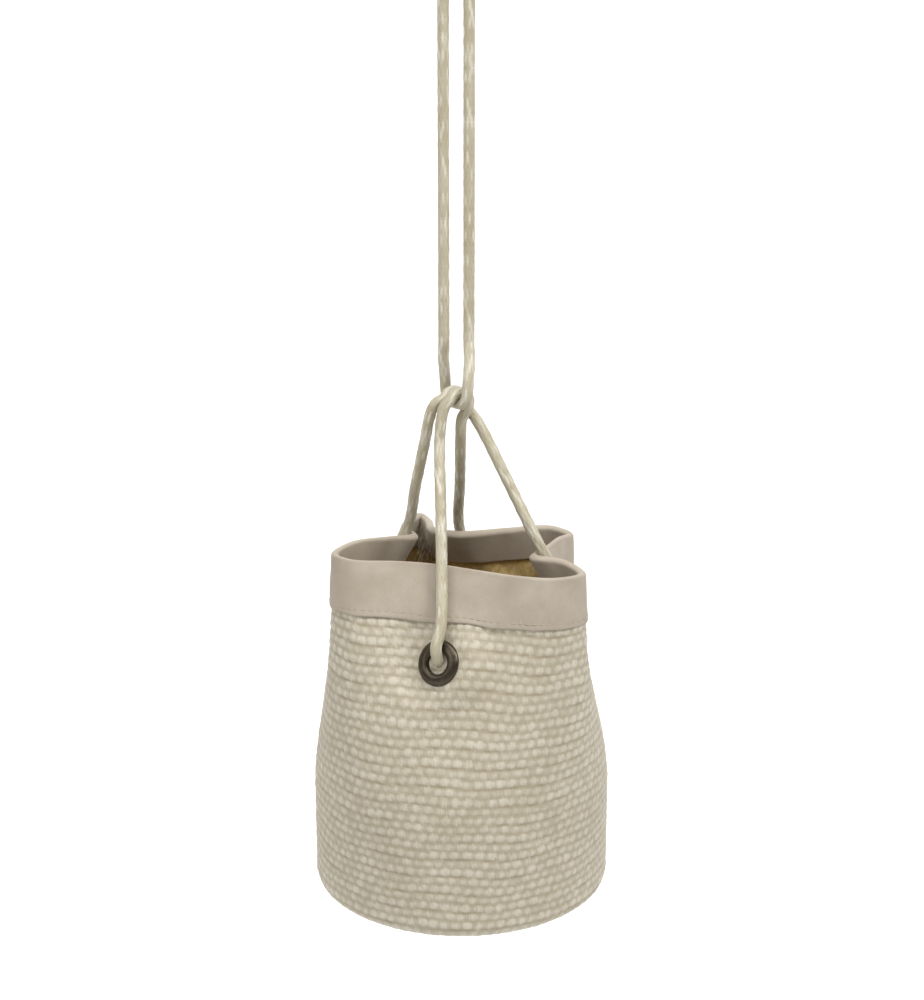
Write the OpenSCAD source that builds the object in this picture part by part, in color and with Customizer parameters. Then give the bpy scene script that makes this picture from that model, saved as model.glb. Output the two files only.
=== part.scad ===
// Hanging fabric planter: a woven bag carried by two crossing cord slings,
// which hang in the lower bight of one long cord loop.
// Origin: the top of the loop, where a hook goes. +Z up, front towards -Y.

/* [Cord] */
// Diameter of every cord
cord_d = 5; // [4.8:0.1:5.2]
// From the hook down to the middle of the lower bight
loop_drop = 218; // [180:1:300]
// Distance between the two strands of the loop
strand_gap = 11.2; // [11:0.1:12.4]
// From the lower bight down to the rim of the bag
sling_rise = 69; // [62:1:90]

/* [Bag] */
// Diameter of the round lower part, at the middle of the wall
bag_d = 137; // [130:1:144]
// How far the round part hangs to the right of the loop
bag_x = 2.2; // [0:0.2:4]
// Height from the rim to the base
bag_h = 160; // [150:1:180]
// Thickness of the woven wall and of the base
wall_t = 2.2; // [1.6:0.1:2.4]
// How far down the four folds of the rim reach
fold_h = 110; // [100:1:120]
// Radius of the bottom edge
edge_r = 6; // [4:0.5:10]

/* [Trim] */
// Width of the binding outside the rim
hem_h = 22; // [20:1:24]
// Width of the binding inside the rim
hem_in = 15; // [12:1:18]
// Thickness of the tapes
tape_t = 0.5; // [0.4:0.1:0.6]
// Distance from the rim down to the centres of the eyelets
eyelet_drop = 38; // [36:1:42]
// Outer diameter of the eyelets
eyelet_d = 20.6; // [18:0.1:21]
// Clear bore of the eyelets
eyelet_bore = 9.8; // [8.6:0.1:10.4]
// How far the front eyelet looks to the left, in degrees
front_eyelet_turn = 18; // [0:1:20]

/* [Hidden] */
$fn = 48;

clear = 0.1;                          // between pieces that lie on each other
rim_z = -loop_drop - sling_rise;
base_z = rim_z - bag_h;
half_t = wall_t / 2;
skin_t = half_t + tape_t;             // half the thickness of the bound rim
cord_r = cord_d / 2;
around = 96;                          // facets round the bag
cord_sides = 12;
cord_step = 8;

// The rim seen from above, as x, y and lift, anticlockwise from the front fold.
// Every sixth point is a fold, and the five between two folds are a lobe.
rim = [
  [-5, -30, 0], [11, -37, 0], [27, -45, 0], [43, -45, -1], [55.5, -33, -2], [48, -21, 0],
  [35, -13, 0], [41, 2, 0], [48, 18, 0], [54, 30, -1], [45, 40, 0], [23, 34, 0],
  [0.5, 28, 0], [-11.5, 37, 0], [-14, 50, 1], [-18, 57.5, 2], [-22.5, 49, 2], [-25, 33, 2],
  [-20, 16, 2], [-32, 12, 2], [-47, 5, 2], [-55.5, -8, 0], [-47, -20, 0], [-27, -23, 0]
];
// Where the four folds run out on the round part, front, right, back and left
fold_angles = [-100, -2, 78, 160, 260];
// The plane in which the slings cross the lower bight is turned by this angle
hitch_turn = 32;
// The front eyelet is clamped on the right flank of its fold, so it looks to the left
eyelet_turns = [-front_eyelet_turn, 0, 0, 0];

// ---- curves ----
function mix(a, b, t) = a + (b - a) * t;
function unit(v) = v / norm(v);
function turned(v, a) = [v[0] * cos(a) - v[1] * sin(a), v[0] * sin(a) + v[1] * cos(a), v[2]];

// One span of a smooth curve through four points, between the middle two
function span(p, q, r, s, f) =
  let (
    a = sqrt(norm(q - p)),
    b = a + sqrt(norm(r - q)),
    c = b + sqrt(norm(s - r)),
    t = mix(a, b, f),
    u = mix(p, q, t / a),
    v = mix(q, r, (t - a) / (b - a)),
    w = mix(r, s, (t - b) / (c - b)),
    x = mix(u, v, t / b),
    y = mix(v, w, (t - a) / (c - a))
  )
  mix(x, y, (t - a) / (b - a));

// An open smooth curve through the points, with a ring about every step
function smooth(pts, step) =
  let (
    n = len(pts),
    all = concat([2 * pts[0] - pts[1]], pts, [2 * pts[n - 1] - pts[n - 2]])
  )
  concat(
    [
      for (i = [0 : n - 2])
        let (parts = max(2, ceil(norm(pts[i + 1] - pts[i]) / step)))
        for (k = [0 : parts - 1])
          span(all[i], all[i + 1], all[i + 2], all[i + 3], k / parts)
    ],
    [pts[n - 1]]
  );

// ---- the surface of the bag: u runs 0 to 24 round it, d is the depth below the rim ----
function rim_point(u) =
  let (n = len(rim), i = floor(u), f = u - i)
  span(rim[(i + n - 1) % n], rim[(i + n) % n], rim[(i + 1) % n], rim[(i + 2) % n], f);

function fold_angle(u) =
  let (v = (u + 24) % 24, i = floor(v / 6))
  mix(fold_angles[i], fold_angles[i + 1], v / 6 - i);

function ease(d) = 1 - pow(1 - min(d, fold_h) / fold_h, 1.6);

function edge_inset(d) =
  let (e = max(0, d - bag_h + edge_r))
  edge_r - sqrt(edge_r * edge_r - e * e);

function free_wall(u, d) =
  let (
    s = ease(d),
    a = fold_angle(u),
    r = bag_d / 2 - edge_inset(d),
    p = mix(rim_point((u + 24) % 24), [bag_x + r * cos(a), r * sin(a), 0], s)
  )
  [p[0], p[1], p[2] + rim_z - d];

// Outward normal of the wall before it is pressed flat at the eyelets
function free_normal(u, d) =
  unit(cross(free_wall(u + 0.1, d) - free_wall(u - 0.1, d), free_wall(u, d - 1) - free_wall(u, d + 1)));

eyelet_at = [for (i = [0 : 3]) free_wall(6 * i, eyelet_drop)];
function out_at(u) = free_normal(u - 0.7, eyelet_drop) + free_normal(u + 0.7, eyelet_drop);
eyelet_out = [for (i = [0 : 3]) turned(unit(out_at(6 * i)), eyelet_turns[i])];

// The clamped cloth lies in the plane of its eyelet and leaves it gradually
flat_r = 14;
fade_r = 26;
function flat_weight(r) =
  let (t = max(0, min(1, (fade_r - r) / (fade_r - flat_r))))
  t * t * (3 - 2 * t);

function pressed(p, i = 0) =
  i > 3
    ? p
    : let (v = p - eyelet_at[i], h = v * eyelet_out[i])
      pressed(p - eyelet_out[i] * h * flat_weight(norm(v)), i + 1);

function wall(u, d) = pressed(free_wall(u, d));

// A point at the distance o outside the middle of the wall
function skin(u, d, o) =
  let (
    e = max(0, d - bag_h + edge_r),
    n = e > 0
      ? [
          cos(fold_angle(u)) * sqrt(1 - pow(e / edge_r, 2)),
          sin(fold_angle(u)) * sqrt(1 - pow(e / edge_r, 2)),
          -e / edge_r
        ]
      : unit(cross(wall(u + 0.1, d) - wall(u - 0.1, d), wall(u, d - 0.5) - wall(u, d + 0.5)))
  )
  wall(u, d) + n * o;

// ---- solids from grids of points ----
// Rings of equal length joined in order. closed joins the last ring to the first.
// flip takes the other diagonal of each face, so that a solid lies snug on its neighbour.
module rings(grid, closed, flip = false) {
  n = len(grid);
  m = len(grid[0]);
  last = closed ? n - 1 : n - 2;
  sides = [
    for (i = [0 : last], k = [0 : m - 1])
      let (
        a = i * m + k,
        b = i * m + (k + 1) % m,
        c = ((i + 1) % n) * m + (k + 1) % m,
        d = ((i + 1) % n) * m + k
      )
      each (flip ? [[a, b, d], [b, c, d]] : [[a, b, c], [a, c, d]])
  ];
  caps = closed ? [] : [[for (k = [m - 1 : -1 : 0]) k], [for (k = [0 : m - 1]) (n - 1) * m + k]];
  polyhedron(points = [for (r = grid) each r], faces = concat(sides, caps), convexity = 8);
}

// A closed section of [offset, depth] pairs carried once round the bag
module carried_round(section, flip = false) {
  rings(
    [for (k = [0 : around - 1]) [for (s = section) skin(k * 24 / around, s[1], s[0])]],
    true,
    flip
  );
}

// Directions across a path, turned as little as possible from ring to ring
function across(p, i = 0, v = [0.3, 0.5, 0.8], out = []) =
  i == len(p)
    ? out
    : let (
        t = unit(p[min(i + 1, len(p) - 1)] - p[max(i - 1, 0)]),
        w = unit(v - (v * t) * t)
      )
      across(p, i + 1, w, concat(out, [[w, cross(t, w)]]));

module cord_tube(path) {
  f = across(path);
  rings(
    [
      for (i = [0 : len(path) - 1])
        [
          for (k = [0 : cord_sides - 1])
            let (a = -k * 360 / cord_sides)
            path[i] + cord_r * (cos(a) * f[i][0] + sin(a) * f[i][1])
        ]
    ],
    false
  );
}

// Puts its children with their +Z along the outward axis of eyelet i
module at_eyelet(i) {
  o = eyelet_out[i];
  translate(eyelet_at[i])
    rotate([0, acos(o[2]), atan2(o[1], o[0])])
      children();
}

// ---- the long loop ----
bight_r = strand_gap / 2;
bight_z = cord_r - bight_r;           // middle of the top bight
twist_z = -loop_drop + 30;            // where the strands meet the hitch
twist_gap = 0.3;
join_z = -24;
join_coils = 4;
coil_r = 1.7;
coil_pitch = 3.2;                     // the turns press into each other

module strand(side, top) {
  color("wheat")
    translate([side * bight_r, 0, twist_z])
      cylinder(h = top - twist_z, r = cord_r);
}

module loop_strand_left() {
  strand(-1, bight_z);
}

module loop_strand_right() {
  strand(1, bight_z);
}

module loop_top_bight() {
  color("wheat")
    translate([0, 0, bight_z])
      rotate([90, 0, 0])
        rotate_extrude(angle = 180)
          translate([bight_r, 0])
            circle(r = cord_r);
}

// The ends of the loop are joined by turns wound round the left strand
module loop_join_knot() {
  color("wheat")
    translate([-bight_r, 0, join_z])
      for (k = [0 : join_coils - 1])
        translate([0, 0, k * coil_pitch])
          rotate_extrude()
            translate([cord_r + clear + coil_r, 0])
              circle(r = coil_r);
}

// ---- the hitch: points are along the crossing, across it and up from the bar ----
function hitch_point(q) =
  [
    q[0] * cos(hitch_turn) - q[1] * sin(hitch_turn),
    q[0] * sin(hitch_turn) + q[1] * cos(hitch_turn),
    q[2] - loop_drop
  ];

// Half of the lower bight: the straight bar, its round corner and the arm above it
bar_half = 3;
corner_r = 6.5;
half_bight = concat(
  [[0, 0, 0]],
  [
    for (a = [0 : 22.5 : 90])
      [0, -bar_half - corner_r * sin(a), corner_r * (1 - cos(a))]
  ],
  [[0.7, -8.9, 12], [2.8, -6.5, 19]]
);
strand_foot = [bight_r, 0, twist_z - twist_gap];
foot_up = [0, 0, 2.4];                // the last stretch of each arm stands upright

function other_side(q) = [-q[0], -q[1], q[2]];

module loop_lower_bight() {
  foot = [strand_foot - foot_up, strand_foot];
  front = concat([for (q = half_bight) hitch_point(q)], foot);
  back = concat(
    [for (q = half_bight) hitch_point(other_side(q))],
    [for (q = foot) other_side(q)]
  );
  n = len(front) - 1;
  color("wheat")
    cord_tube(smooth(concat([for (i = [n : -1 : 1]) front[i]], back), cord_step));
}

// ---- the slings ----
saddle_r = cord_d + 0.3;              // from the middle of the bar to the middle of a sling
saddle_side = cord_r + 2 * clear;     // the slings lie side by side
knot_d = 13;
knot_h = 9;
flange_t = 1.6;
knot_face = half_t + flange_t + clear;

// The upper part of each sling, from its left leg over the bar to its right leg
over_front_back = concat(
  [[-9.6, -1.1, -17], [-8.8, -1, -8], [-7.3, -1.5, -1]],
  [for (a = [150 : -30 : 30]) [saddle_r * cos(a), -saddle_side, saddle_r * sin(a)]],
  [[4.8, -1.9, -2.5], [3.5, 0.9, -7.5], [4.4, 3.4, -16]]
);
over_left_right = concat(
  [[-10.5, 10, -17], [-10.1, 7.5, -8], [-8.6, 5.2, -1]],
  [for (a = [150 : -30 : 30]) [saddle_r * cos(a), saddle_side, saddle_r * sin(a)]],
  [[7, 3.4, -2.5], [9.5, 1, -6.5], [11.8, -3.2, -13]]
);

// From the top of leg i over the rim and in through its eyelet to the knot
function leg(i) =
  let (
    e = eyelet_at[i],
    o = eyelet_out[i],
    up = unit([0, 0, 1] - o * o[2]),
    over_rim = skin(6 * i, 0, skin_t + cord_r + 0.6) + [0, 0, 1]
  )
  [
    over_rim,
    e + up * 16 + o * (skin_t + cord_r + 1.2),
    e + up * 6 + o * (half_t + flange_t + cord_r + 0.2),
    e + o * (half_t + 0.6) + up * 1.2,
    e - o * (half_t - 0.2) + up * 0.2,
    e - o * (knot_face - 3 * clear)
  ];

function reversed(p) = [for (i = [len(p) - 1 : -1 : 0]) p[i]];

// Each leg runs straight from the hitch to the rim
module sling(top, from, to) {
  over = [for (q = top) hitch_point(q)];
  first = reversed(leg(from));
  second = leg(to);
  color("wheat")
    cord_tube(
      smooth(
        concat(
          first,
          [(first[len(first) - 1] + over[0]) / 2],
          over,
          [(over[len(over) - 1] + second[0]) / 2],
          second
        ),
        cord_step
      )
    );
}

module sling_front_back() {
  sling(over_front_back, 0, 2);
}

module sling_left_right() {
  sling(over_left_right, 3, 1);
}

module stopper_knot(i) {
  color("wheat")
    at_eyelet(i)
      translate([0, 0, -knot_face - knot_h])
        rotate_extrude()
          intersection() {
            union() {
              translate([knot_d / 2 - knot_h / 2, knot_h / 2])
                circle(r = knot_h / 2);
              square([knot_d / 2 - knot_h / 2, knot_h]);
            }
            square(knot_d);
          }
}

// ---- eyelets ----
barrel_t = 1;
barrel_r = eyelet_bore / 2 + barrel_t;
washer_t = 1;
hole_h = 12;                          // long enough to pass through the wall

// The rolled flange outside and the barrel that runs through the cloth
module eyelet(i) {
  flange_w = eyelet_d / 2 - eyelet_bore / 2;
  color("dimgray")
    at_eyelet(i)
      rotate_extrude()
        translate([eyelet_bore / 2, 0]) {
          translate([0, -half_t])
            square([barrel_t, 2 * half_t + 0.6]);
          intersection() {
            translate([flange_w / 2, half_t + clear - flange_w * 0.62])
              circle(r = flange_w * 0.8);
            translate([0, half_t + clear])
              square([flange_w, flange_t]);
          }
        }
}

module washer(i) {
  color("dimgray")
    at_eyelet(i)
      translate([0, 0, -half_t - clear - washer_t])
        difference() {
          cylinder(h = washer_t, d = eyelet_d);
          translate([0, 0, -washer_t])
            cylinder(h = 3 * washer_t, d = eyelet_bore);
        }
}

// ---- the bag ----
stitch_d = hem_h - 2.5;               // depth of the stitches near the lower edge of the binding
wall_levels = [
  0, 5, 10, hem_in, stitch_d, hem_h, 27, 32, 38, 44, 49, 55, 63, 73, 85, 98, fold_h, 132,
  bag_h - edge_r, bag_h - edge_r * 0.5, bag_h - edge_r * 0.15, bag_h
];

module woven_wall() {
  outer = [for (d = wall_levels) [half_t, d]];
  inner = [for (d = reversed(wall_levels)) [-half_t, d]];
  color("cornsilk")
    difference() {
      carried_round(concat(outer, inner));
      for (i = [0 : 3])
        at_eyelet(i)
          cylinder(h = hole_h, r = barrel_r + clear, center = true);
    }
}

// One tape folded over the raw edge of the wall
module rim_binding() {
  under = half_t + clear;
  out = under + tape_t;
  inside = [hem_in, 10, 5, 0];
  outside = concat([hem_h, stitch_d], inside);
  section = concat(
    [for (d = outside) [out, d]],
    [[out * 0.7, -0.9], [0, -1.2], [-out * 0.7, -0.9]],
    [for (d = reversed(inside)) [-out, d]],
    [for (d = inside) [-under, d]],
    [[-under, -0.2], [0, -0.5], [under, -0.2]],
    [for (d = reversed(outside)) [under, d]]
  );
  color("antiquewhite")
    carried_round(reversed(section), true);
}

// The row of stitches that holds the outer face of the binding
stitch_n = 96;
stitch = [1.4, 0.4, 0.6];             // length, stand-off from the cloth, width

module rim_stitching() {
  lift = half_t + tape_t + 7 * clear;
  color("ivory")
    for (k = [0 : stitch_n - 1]) {
      u = (k + 0.5) * 24 / stitch_n;
      p = skin(u, stitch_d, lift);
      q = skin(u + 0.05, stitch_d, lift);
      n = skin(u, stitch_d, lift + 1) - p;
      translate(p)
        rotate([0, 0, atan2(q[1] - p[1], q[0] - p[0])])
          rotate([asin(n[2]), 0, 0])
            translate([-stitch[0] / 2, -stitch[1], -stitch[2] / 2])
              cube(stitch);
    }
}

// A strip inside the wall, over the join of its two ends
seam_u = 21.5;
seam_half = 0.3;
module side_seam_tape() {
  depths = [for (k = [0 : 13]) mix(hem_h + 6, bag_h - edge_r - 4, k / 13)];
  near = half_t + 2 * clear;
  color("antiquewhite")
    rings(
      [
        for (d = depths)
          [
            skin(seam_u - seam_half, d, -near),
            skin(seam_u, d, -near),
            skin(seam_u + seam_half, d, -near),
            skin(seam_u + seam_half, d, -near - tape_t),
            skin(seam_u, d, -near - tape_t),
            skin(seam_u - seam_half, d, -near - tape_t)
          ]
      ],
      false
    );
}

base_r = bag_d / 2 - edge_r - 0.3;
seam_w = 7;                           // the base is pressed thin here, under its tape
base_stitch_n = 72;

module on_base(z) {
  translate([bag_x, 0, base_z + z])
    children();
}

module base_panel() {
  color("cornsilk")
    on_base(-half_t)
      rotate_extrude($fn = 96) {
        square([base_r, wall_t - tape_t - clear]);
        square([base_r - seam_w - clear, wall_t]);
      }
}

// A ring of tape on the inside, over the seam of the base
module base_seam_tape() {
  color("antiquewhite")
    on_base(half_t - tape_t)
      rotate_extrude($fn = 96)
        translate([base_r - seam_w, 0])
          square([seam_w + clear, tape_t]);
}

module base_stitching() {
  color("ivory")
    on_base(half_t + clear)
      for (k = [0 : base_stitch_n - 1])
        rotate([0, 0, k * 360 / base_stitch_n])
          translate([base_r - seam_w / 2 - stitch[2] / 2, -stitch[0] / 2, 0])
            cube([stitch[2], stitch[0], stitch[1]]);
}

loop_strand_left();
loop_strand_right();
loop_top_bight();
loop_join_knot();
loop_lower_bight();
sling_front_back();
sling_left_right();
stopper_knot(0);  // stopper_knot_front
stopper_knot(1);  // stopper_knot_right
stopper_knot(2);  // stopper_knot_back
stopper_knot(3);  // stopper_knot_left
eyelet(0);  // eyelet_front
eyelet(1);  // eyelet_right
eyelet(2);  // eyelet_back
eyelet(3);  // eyelet_left
washer(0);  // washer_front
washer(1);  // washer_right
washer(2);  // washer_back
washer(3);  // washer_left
woven_wall();
rim_binding();
rim_stitching();
side_seam_tape();
base_panel();
base_seam_tape();
base_stitching();
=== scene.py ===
import math
import bpy
import numpy as np
from mathutils import Matrix, Vector


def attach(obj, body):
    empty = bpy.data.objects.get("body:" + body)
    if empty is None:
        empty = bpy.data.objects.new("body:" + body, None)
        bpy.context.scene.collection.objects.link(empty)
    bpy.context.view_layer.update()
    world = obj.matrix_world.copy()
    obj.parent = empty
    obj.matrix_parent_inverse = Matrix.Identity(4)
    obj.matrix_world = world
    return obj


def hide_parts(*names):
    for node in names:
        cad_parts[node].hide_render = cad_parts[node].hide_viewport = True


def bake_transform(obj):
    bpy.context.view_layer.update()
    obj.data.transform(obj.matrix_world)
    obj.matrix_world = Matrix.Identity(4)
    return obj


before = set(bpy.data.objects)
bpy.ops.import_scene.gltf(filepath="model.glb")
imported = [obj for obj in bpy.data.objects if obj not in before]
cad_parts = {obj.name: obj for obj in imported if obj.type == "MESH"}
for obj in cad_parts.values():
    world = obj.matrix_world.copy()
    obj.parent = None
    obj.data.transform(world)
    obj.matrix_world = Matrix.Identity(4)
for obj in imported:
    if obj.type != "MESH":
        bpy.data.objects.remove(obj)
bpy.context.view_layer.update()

mm = 0.001


# scale is a thousandth of the height of the view at lookAt
cameraSetup = {"distance": 0.760, "elevation": 13.5, "lookAt": (0.0025, 0, -0.263), "scale": 0.458 * mm}


def addCamera(setup):
    tilt = math.radians(setup["elevation"])
    lookAt = Vector(setup["lookAt"])
    place = lookAt + setup["distance"] * Vector((0, -math.cos(tilt), math.sin(tilt)))
    data = bpy.data.cameras.new("camera")
    data.sensor_width = 36
    data.lens = 36 * setup["distance"] / setup["scale"] / 1000
    data.clip_start = 0.02
    camera = bpy.data.objects.new("camera", data)
    camera.location = place
    camera.rotation_euler = (math.pi / 2 - tilt, 0, 0)
    bpy.context.scene.collection.objects.link(camera)
    bpy.context.scene.camera = camera


addCamera(cameraSetup)
print("camera placed")


def deselectAll():
    if bpy.context.mode != "OBJECT":
        bpy.ops.object.mode_set(mode="OBJECT")
    bpy.ops.object.select_all(action="DESELECT")


def makeActive(piece):
    deselectAll()
    piece.select_set(True)
    bpy.context.view_layer.objects.active = piece


def setPlaces(piece, places):
    piece.data.vertices.foreach_set("co", np.asarray(places, np.float32).ravel())
    piece.data.update()


def getPlaces(piece):
    places = np.empty(len(piece.data.vertices) * 3, np.float32)
    piece.data.vertices.foreach_get("co", places)
    return places.reshape(-1, 3).astype(float)


seamGap = 0.01 * mm  # points closer than this are one point


def closeSeams(piece):
    makeActive(piece)
    bpy.ops.object.mode_set(mode="EDIT")
    bpy.ops.mesh.select_all(action="SELECT")
    bpy.ops.mesh.remove_doubles(threshold=seamGap)
    bpy.ops.mesh.normals_make_consistent(inside=False)
    bpy.ops.object.mode_set(mode="OBJECT")
    bpy.ops.object.shade_smooth()


# a grid of faces, columns by rows, with its own UV map from 0 to 1 both ways
def addGrid(name, columns, rows):
    deselectAll()
    bpy.ops.mesh.primitive_grid_add(x_subdivisions=columns, y_subdivisions=rows, size=1, calc_uvs=True)
    piece = bpy.context.object
    piece.name = name
    piece.data.name = name
    piece.data.uv_layers[0].name = "weave"
    across = getPlaces(piece)[:, :2] + 0.5
    return piece, across[:, 0], across[:, 1]


def joinPieces(name, parts):
    deselectAll()
    for part in parts:
        part.select_set(True)
    bpy.context.view_layer.objects.active = parts[0]
    if len(parts) > 1:
        bpy.ops.object.join()
    piece = bpy.context.object
    piece.name = name
    piece.data.name = name
    return piece


# the shape of the bag in metres, the same as in part.scad
bag = {"diameter": 0.137, "right": 0.0022, "height": 0.160, "wall": 0.0022, "foldDepth": 0.110,
       "foldEase": 1.6, "edgeRadius": 0.006, "hem": 0.022, "hemInside": 0.015, "tape": 0.0005,
       "eyeletDrop": 0.038, "eyeletReach": 0.026, "eyeletFade": 0.012}
cord = {"diameter": 0.005, "loopDrop": 0.218, "strandGap": 0.0112, "slingRise": 0.069, "hitchTurn": 32}
rimPoints = mm * np.array([
    (-5, -30, 0), (11, -37, 0), (27, -45, 0), (43, -45, -1), (55.5, -33, -2), (48, -21, 0),
    (35, -13, 0), (41, 2, 0), (48, 18, 0), (54, 30, -1), (45, 40, 0), (23, 34, 0),
    (0.5, 28, 0), (-11.5, 37, 0), (-14, 50, 1), (-18, 57.5, 2), (-22.5, 49, 2), (-25, 33, 2),
    (-20, 16, 2), (-32, 12, 2), (-47, 5, 2), (-55.5, -8, 0), (-47, -20, 0), (-27, -23, 0)])
rimSpans = len(rimPoints)
foldSpacing = rimSpans / 4
foldAngles = np.array([-100, -2, 78, 160, 260])
rimHeight = -cord["loopDrop"] - cord["slingRise"]
halfWall = bag["wall"] / 2
cordRadius = cord["diameter"] / 2


def length(v):
    return np.sqrt((v * v).sum(axis=-1, keepdims=True))


def unit(v):
    return v / length(v)


# the part of a smooth curve through four points that lies between the middle two
def spanPoint(p, q, r, s, f):
    a = np.sqrt(length(q - p))
    b = a + np.sqrt(length(r - q))
    c = b + np.sqrt(length(s - r))
    t = a + (b - a) * f
    u = p + (q - p) * t / a
    v = q + (r - q) * (t - a) / (b - a)
    w = r + (s - r) * (t - b) / (c - b)
    x = u + (v - u) * t / b
    y = v + (w - v) * (t - a) / (c - a)
    return x + (y - x) * (t - a) / (b - a)


# an open smooth curve through the points, with a new point about every step
def smoothPath(points, step):
    points = np.array(points, float)
    points = np.vstack([2 * points[0] - points[1], points, 2 * points[-1] - points[-2]])
    path = []
    for i in range(1, len(points) - 2):
        parts = max(2, math.ceil(np.linalg.norm(points[i + 1] - points[i]) / step))
        f = (np.arange(parts) / parts)[:, None]
        path.append(spanPoint(points[i - 1], points[i], points[i + 1], points[i + 2], f))
    path.append(points[-2][None])
    return np.vstack(path)


def rimPoint(u):
    i = np.floor(u).astype(int)
    p, q, r, s = (rimPoints[(i + k) % rimSpans] for k in (-1, 0, 1, 2))
    return spanPoint(p, q, r, s, (u - i)[:, None])


def foldAngle(u):
    return np.radians(np.interp(u % rimSpans, np.arange(5) * foldSpacing, foldAngles))


# the cloth where no eyelet presses it: u counts the rim's points round the bag, d is the depth
def freeCloth(u, d):
    ease = (1 - (1 - np.minimum(d, bag["foldDepth"]) / bag["foldDepth"]) ** bag["foldEase"])[:, None]
    edge = bag["edgeRadius"]
    past = np.clip(d - bag["height"] + edge, 0, edge)
    radius = bag["diameter"] / 2 - edge + np.sqrt(edge * edge - past * past)
    angle = foldAngle(u)
    ring = np.stack([bag["right"] + radius * np.cos(angle), radius * np.sin(angle), 0 * angle], axis=1)
    place = rimPoint(u % rimSpans) * (1 - ease) + ring * ease
    place[:, 2] += rimHeight - d
    return place


def freeNormal(u, d):
    across = freeCloth(u + 0.1, d) - freeCloth(u - 0.1, d)
    return unit(np.cross(across, freeCloth(u, d - mm) - freeCloth(u, d + mm)))


foldAt = np.arange(4) * foldSpacing
eyeletDepth = np.full(4, bag["eyeletDrop"])
eyeletAt = freeCloth(foldAt, eyeletDepth)
eyeletOut = unit(freeNormal(foldAt - 0.7, eyeletDepth) + freeNormal(foldAt + 0.7, eyeletDepth))
# the front eyelet is clamped on the right flank of its fold, so it looks a little to the left
eyeletTurn = np.radians([-18, 0, 0, 0])
eyeletOut = np.stack([eyeletOut[:, 0] * np.cos(eyeletTurn) - eyeletOut[:, 1] * np.sin(eyeletTurn),
                      eyeletOut[:, 0] * np.sin(eyeletTurn) + eyeletOut[:, 1] * np.cos(eyeletTurn),
                      eyeletOut[:, 2]], axis=1)


# the cloth lies flat in each eyelet's plane and leaves it gradually
def cloth(u, d):
    place = freeCloth(u, d)
    for at, out in zip(eyeletAt, eyeletOut):
        away = place - at
        t = np.clip((bag["eyeletReach"] - length(away)) / bag["eyeletFade"], 0, 1)
        place = place - out * (away @ out)[:, None] * t * t * (3 - 2 * t)
    return place


def clothNormal(u, d):
    across = cloth(u + 0.1, d) - cloth(u - 0.1, d)
    normal = unit(np.cross(across, cloth(u, d - 0.5 * mm) - cloth(u, d + 0.5 * mm)))
    edge = bag["edgeRadius"]
    past = np.clip(d - bag["height"] + edge, 0, edge) / edge
    angle = foldAngle(u)
    flat = np.sqrt(1 - past * past)
    rolled = np.stack([np.cos(angle) * flat, np.sin(angle) * flat, -past], axis=1)
    return np.where((past > 0)[:, None], rolled, normal)


# offset is the distance outside the middle of the wall
def skin(u, d, offset):
    u, d = np.broadcast_arrays(np.atleast_1d(np.asarray(u, float)), np.asarray(d, float))
    return cloth(u, d) + clothNormal(u, d) * np.reshape(offset, (-1, 1))


# a repeatable number from 0 to 1 for each pair of whole numbers
def scatter(i, j, salt=0.0):
    n = np.sin(i * 12.9898 + j * 78.233 + salt * 37.719) * 43758.5453
    return n - np.floor(n)


# waves that meet themselves after one turn round the rim
def ripple(turn, fine, coarse, drift):
    wave = np.sin(fine * turn + 2.1 * np.sin(coarse * turn + drift) + drift)
    return wave * (0.6 + 0.4 * np.sin(coarse * turn))


print("shape of the bag ready")


# wraps a socket, so that shader maths reads as plain expressions
class Shade:
    def __init__(self, tree, socket):
        self.tree = tree
        self.socket = socket

    def maths(self, operation, *others):
        sockets = dict(enumerate((self,) + others))
        return addNode(self.tree, "ShaderNodeMath", {"operation": operation}, sockets)

    def __add__(self, other):
        return self.maths("ADD", other)

    __radd__ = __add__

    def __sub__(self, other):
        return self.maths("SUBTRACT", other)

    def __rsub__(self, other):
        return (self * -1) + other

    def __mul__(self, other):
        return self.maths("MULTIPLY", other)

    __rmul__ = __mul__

    def limit(self, low=0.0, high=1.0):
        return self.maths("MAXIMUM", low).maths("MINIMUM", high)


# adds any node: its type, its settings, then the values or links of its sockets
def addNode(tree, kind, settings, sockets, output=0):
    node = tree.nodes.new(kind)
    for name, value in settings.items():
        setattr(node, name, value)
    for name, value in sockets.items():
        if isinstance(value, Shade):
            tree.links.new(value.socket, node.inputs[name])
        else:
            node.inputs[name].default_value = value
    return Shade(tree, node.outputs[output]) if node.outputs else None


def newMaterial(name):
    material = bpy.data.materials.new(name)
    material.use_nodes = True
    tree = material.node_tree
    tree.nodes.clear()
    return material, tree


# a colour of 0 to 255 as the linear colour that sockets take
def colour(*parts):
    return tuple(((c / 255 + 0.055) / 1.055) ** 2.4 for c in parts)


# sockets 6 and 7 and output 2 are the colour ones of this node
def mixColour(tree, factor, a, b):
    a = a if isinstance(a, Shade) else (*a, 1)
    b = b if isinstance(b, Shade) else (*b, 1)
    return addNode(tree, "ShaderNodeMix", {"data_type": "RGBA"}, {0: factor, 6: a, 7: b}, 2)


def finishMaterial(tree, sockets, bumps=()):
    normal = None
    for height, distance, strength in bumps:
        bump = {"Height": height, "Distance": distance, "Strength": strength}
        if normal:
            bump["Normal"] = normal
        normal = addNode(tree, "ShaderNodeBump", {}, bump)
    if normal:
        sockets["Normal"] = normal
    shader = addNode(tree, "ShaderNodeBsdfPrincipled", {}, sockets)
    addNode(tree, "ShaderNodeOutputMaterial", {}, {"Surface": shader})


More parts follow.
